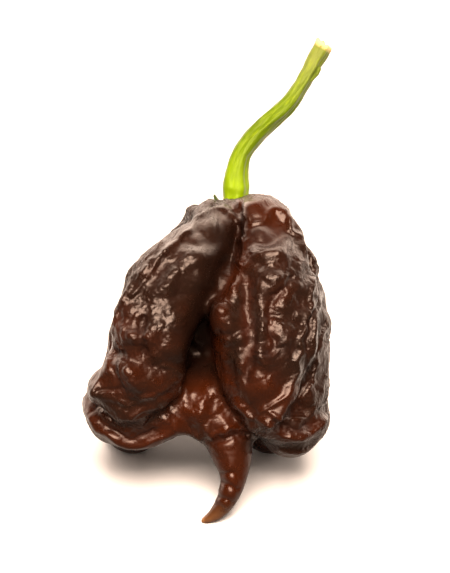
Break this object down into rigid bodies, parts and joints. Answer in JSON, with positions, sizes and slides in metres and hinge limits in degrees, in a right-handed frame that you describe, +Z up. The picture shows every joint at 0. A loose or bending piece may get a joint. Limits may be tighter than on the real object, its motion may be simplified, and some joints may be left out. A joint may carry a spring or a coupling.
{
  "type": "chilli pepper",
  "caption": "Wrinkled, lobed chilli pepper pod in chocolate brown with a deep front cleft and a hooked tail, with its bent green stem and small calyx, leaning back at rest.",
  "frame": {"origin": "centre of the bounding box's footprint, on the surface that the pepper rests on", "axes": "+Z up from the resting surface, along the longest extent; the wide cleft and the tail face -Y; the stem leans back to +Y and bends to +X"},
  "size_m": [0.041, 0.0454, 0.0671],
  "materials": {
    "pod": "waxy, glossy fruit skin",
    "stem": "smooth green plant stem"
  },
  "bodies": {
    "root": {"pod": "pod", "stem": "stem"}
  },
  "joints": []
}
